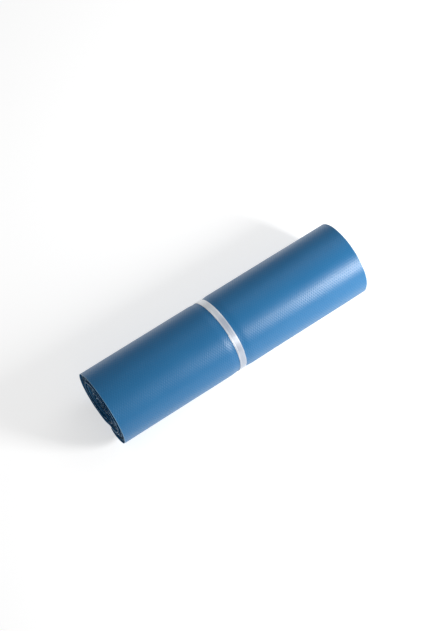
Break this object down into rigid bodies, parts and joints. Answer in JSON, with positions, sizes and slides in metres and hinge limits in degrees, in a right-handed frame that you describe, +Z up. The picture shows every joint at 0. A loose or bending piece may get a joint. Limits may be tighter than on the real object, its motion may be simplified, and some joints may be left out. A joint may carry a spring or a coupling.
{
  "type": "roll of poly mailer bags",
  "caption": "Pack of blue poly mailer bags: a flat stack of film bags wound into a roll, its outer fold tucked underneath, held near mid-length by a band of clear tape.",
  "frame": {"origin": "on the surface the roll lies on, under the middle of its length and width", "axes": "+X along the roll, from the end that shows in the picture to the far one; +Z up; -Y the side the picture shows, where the outer fold tucks under"},
  "size_m": [0.32, 0.087, 0.0775],
  "materials": {
    "blue_film": "satin film with a fine embossed grain",
    "clear_tape": "clear, glossy, with fine lengthwise streaks"
  },
  "bodies": {
    "root": {"mailer_roll": "blue_film", "tape_band": "clear_tape"}
  },
  "joints": []
}
